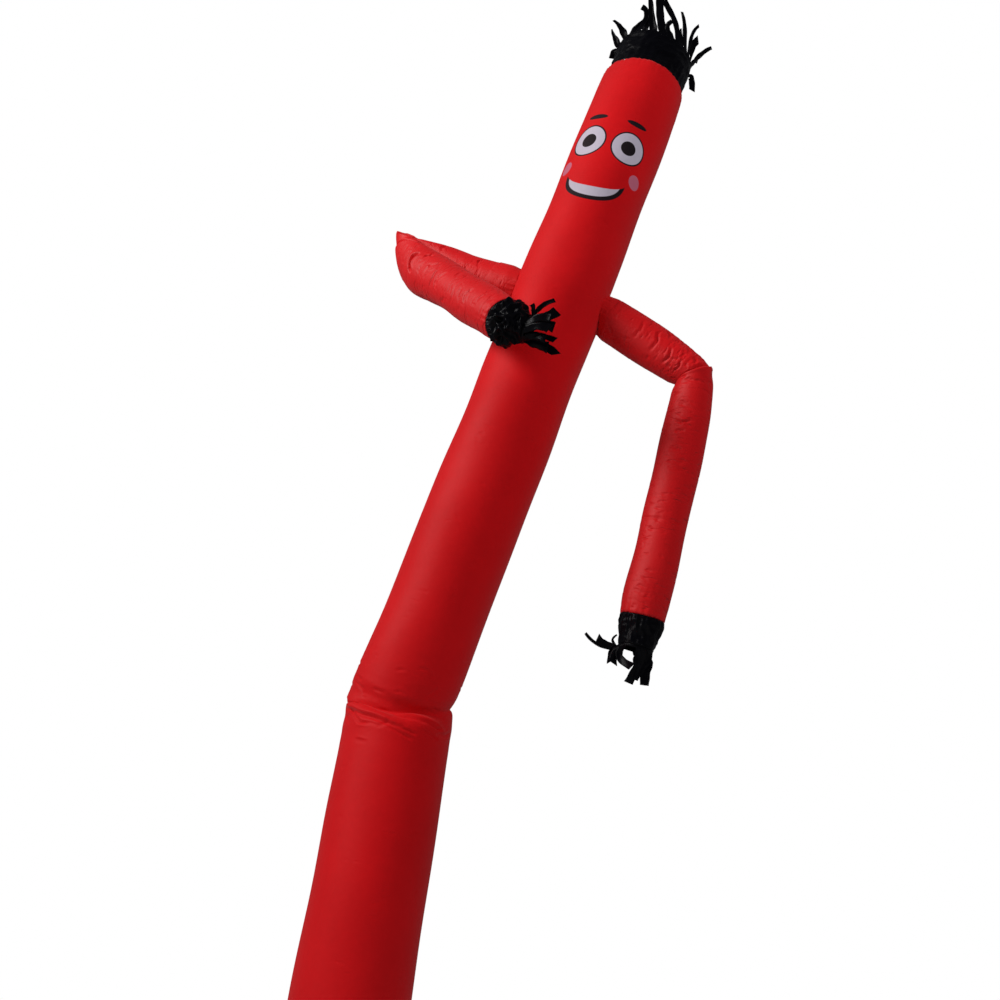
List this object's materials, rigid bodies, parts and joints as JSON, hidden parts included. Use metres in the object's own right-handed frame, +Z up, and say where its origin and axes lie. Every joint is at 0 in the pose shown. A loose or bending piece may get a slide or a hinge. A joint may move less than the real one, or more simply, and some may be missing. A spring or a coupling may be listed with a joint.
{
  "type": "inflatable air dancer",
  "caption": "Tall nylon tube figure, folded back at the waist, with two sleeve arms, black fringed cuffs and a fringe of hair.",
  "frame": {"origin": "centre of the tube's open foot, where the blower's collar holds it", "axes": "+Z up along the lower tube, -Y towards the side of the printed face, +X towards the hanging arm"},
  "size_m": [1.6414, 1.154, 5.7185],
  "materials": {
    "body_tube": "red satin nylon",
    "sleeve_folded": "red satin nylon",
    "sleeve_hanging": "red satin nylon",
    "cuff_folded": "black satin nylon",
    "cuff_hanging": "black satin nylon",
    "hair_band": "black satin nylon",
    "fringe_folded": "black satin nylon",
    "fringe_hanging": "black satin nylon",
    "fringe_hair": "black satin nylon"
  },
  "bodies": {
    "root": {"body_tube": "body_tube", "sleeve_folded": "sleeve_folded", "sleeve_hanging": "sleeve_hanging", "cuff_folded": "cuff_folded", "cuff_hanging": "cuff_hanging", "hair_band": "hair_band", "fringe_folded": "fringe_folded", "fringe_hanging": "fringe_hanging", "fringe_hair": "fringe_hair"}
  },
  "joints": []
}
